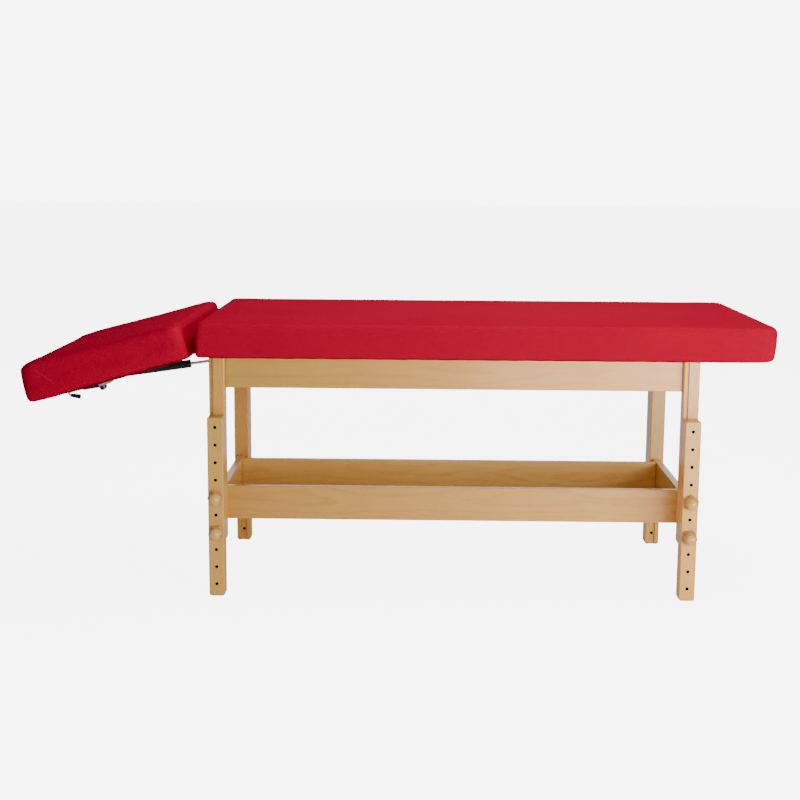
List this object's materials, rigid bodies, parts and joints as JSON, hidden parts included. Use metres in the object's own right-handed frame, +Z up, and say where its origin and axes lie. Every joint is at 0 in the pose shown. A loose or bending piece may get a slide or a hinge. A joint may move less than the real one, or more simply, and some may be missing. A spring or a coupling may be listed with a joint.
{
  "type": "massage table",
  "caption": "Free-standing wooden massage table with height-adjustable legs, a storage tray and a padded red top whose hinged headrest tilts on a locking gas spring.",
  "frame": {"origin": "on the floor, below the middle of the whole table's outline seen from above", "axes": "+X runs along the table from the headrest to the foot end, +Y to the rear, +Z up; the front with the clear view in the picture faces -Y"},
  "size_m": [1.8593, 0.692, 0.705],
  "materials": {
    "red_cover": "satin",
    "varnished_wood": "satin",
    "turned_wood": "gloss",
    "plywood": "matte",
    "thin_plywood": "satin",
    "brass": "satin",
    "zinc_steel": "satin",
    "machined_steel": "satin",
    "chromed_rod": "polished",
    "black_steel": "satin",
    "black_plastic": "matte"
  },
  "bodies": {
    "frame": {"top_board": "plywood", "main_pad": "red_cover", "front_apron": "varnished_wood", "rear_apron": "varnished_wood", "head_apron": "varnished_wood", "foot_apron": "varnished_wood", "upper_leg_front_head": "varnished_wood", "upper_leg_front_foot": "varnished_wood", "upper_leg_rear_head": "varnished_wood", "upper_leg_rear_foot": "varnished_wood", "tray_front_board": "varnished_wood", "tray_rear_board": "varnished_wood", "tray_head_board": "varnished_wood", "tray_foot_board": "varnished_wood", "tray_panel": "thin_plywood", "corner_blocks": "varnished_wood", "dowels": "varnished_wood", "frame_screws": "zinc_steel", "leg_studs": "zinc_steel", "table_hinge_leaves": "zinc_steel", "hinge_pins": "zinc_steel", "rod_bracket": "zinc_steel", "rod_pin": "zinc_steel"},
    "headrest": {"headrest_board": "plywood", "headrest_pad": "red_cover", "headrest_hinge_leaves": "zinc_steel", "headrest_screws": "zinc_steel", "tube_bracket": "zinc_steel", "lever_bolt": "black_steel"},
    "spring_tube": {"spring_tube": "black_steel", "tube_end_block": "machined_steel", "rod_guide": "machined_steel"},
    "spring_rod": {"piston_rod": "chromed_rod", "piston": "black_plastic", "rod_eye": "machined_steel"},
    "release_pin": {"release_pin": "machined_steel"},
    "release_lever": {"release_lever": "black_plastic", "lever_bar": "zinc_steel", "lever_grip": "black_plastic"},
    "lower_leg_front_head": {"lower_leg_front_head": "varnished_wood"},
    "lower_leg_front_foot": {"lower_leg_front_foot": "varnished_wood"},
    "lower_leg_rear_head": {"lower_leg_rear_head": "varnished_wood"},
    "lower_leg_rear_foot": {"lower_leg_rear_foot": "varnished_wood"},
    "knob_front_head_high": {"knob_front_head_high": "turned_wood", "insert_front_head_high": "brass"},
    "knob_front_head_low": {"knob_front_head_low": "turned_wood", "insert_front_head_low": "brass"},
    "knob_front_foot_high": {"knob_front_foot_high": "turned_wood", "insert_front_foot_high": "brass"},
    "knob_front_foot_low": {"knob_front_foot_low": "turned_wood", "insert_front_foot_low": "brass"},
    "knob_rear_head_high": {"knob_rear_head_high": "turned_wood", "insert_rear_head_high": "brass"},
    "knob_rear_head_low": {"knob_rear_head_low": "turned_wood", "insert_rear_head_low": "brass"},
    "knob_rear_foot_high": {"knob_rear_foot_high": "turned_wood", "insert_rear_foot_high": "brass"},
    "knob_rear_foot_low": {"knob_rear_foot_low": "turned_wood", "insert_rear_foot_low": "brass"}
  },
  "joints": [
    {"name": "headrest_tilt", "type": "hinge", "parent": "frame", "child": "headrest", "pos_m": [-0.50275, 0, 0.615], "axis": [0, 1, 0], "range_deg": [-20, 26]},
    {"name": "spring_tube_pivot", "type": "hinge", "parent": "headrest", "child": "spring_tube", "pos_m": [-0.78663, 0, 0.52399], "axis": [0, 1, 0], "range_deg": [-1.4, 1.1]},
    {"name": "spring_rod_slide", "type": "slide", "parent": "spring_tube", "child": "spring_rod", "axis": [0.9889, 0, 0.1483], "range_m": [-0.017, 0.022]},
    {"name": "release_lever_turn", "type": "hinge", "parent": "headrest", "child": "release_lever", "pos_m": [-0.79866, 0, 0.49154], "axis": [0, 1, 0], "range_deg": [0, 8], "stiffness_Nm_per_rad": 0.6},
    {"name": "release_pin_slide", "type": "slide", "parent": "spring_tube", "child": "release_pin", "axis": [0.9889, 0, 0.1483], "range_m": [0, 0.0043]},
    {"name": "leg_height_front_head", "type": "slide", "parent": "frame", "child": "lower_leg_front_head", "axis": [0, 0, -1], "range_m": [-0.135, 0.135]},
    {"name": "leg_height_front_foot", "type": "slide", "parent": "frame", "child": "lower_leg_front_foot", "axis": [0, 0, -1], "range_m": [-0.135, 0.135]},
    {"name": "leg_height_rear_head", "type": "slide", "parent": "frame", "child": "lower_leg_rear_head", "axis": [0, 0, -1], "range_m": [-0.135, 0.135]},
    {"name": "leg_height_rear_foot", "type": "slide", "parent": "frame", "child": "lower_leg_rear_foot", "axis": [0, 0, -1], "range_m": [-0.135, 0.135]},
    {"name": "knob_turn_front_head_high", "type": "hinge", "parent": "frame", "child": "knob_front_head_high", "pos_m": [-0.45425, -0.3, 0.258], "axis": [0, -1, 0], "continuous": true},
    {"name": "knob_turn_front_head_low", "type": "hinge", "parent": "frame", "child": "knob_front_head_low", "pos_m": [-0.45425, -0.3, 0.168], "axis": [0, -1, 0], "continuous": true},
    {"name": "knob_turn_front_foot_high", "type": "hinge", "parent": "frame", "child": "knob_front_foot_high", "pos_m": [0.74075, -0.3, 0.258], "axis": [0, -1, 0], "continuous": true},
    {"name": "knob_turn_front_foot_low", "type": "hinge", "parent": "frame", "child": "knob_front_foot_low", "pos_m": [0.74075, -0.3, 0.168], "axis": [0, -1, 0], "continuous": true},
    {"name": "knob_turn_rear_head_high", "type": "hinge", "parent": "frame", "child": "knob_rear_head_high", "pos_m": [-0.45425, 0.3, 0.258], "axis": [0, 1, 0], "continuous": true},
    {"name": "knob_turn_rear_head_low", "type": "hinge", "parent": "frame", "child": "knob_rear_head_low", "pos_m": [-0.45425, 0.3, 0.168], "axis": [0, 1, 0], "continuous": true},
    {"name": "knob_turn_rear_foot_high", "type": "hinge", "parent": "frame", "child": "knob_rear_foot_high", "pos_m": [0.74075, 0.3, 0.258], "axis": [0, 1, 0], "continuous": true},
    {"name": "knob_turn_rear_foot_low", "type": "hinge", "parent": "frame", "child": "knob_rear_foot_low", "pos_m": [0.74075, 0.3, 0.168], "axis": [0, 1, 0], "continuous": true}
  ],
  "couplings": [
    {"joint": "spring_tube_pivot", "follows": "headrest_tilt", "ratio": -0.0514},
    {"joint": "spring_rod_slide", "follows": "headrest_tilt", "m_per_rad": 0.04804},
    {"joint": "release_pin_slide", "follows": "release_lever_turn", "m_per_rad": 0.0306}
  ]
}
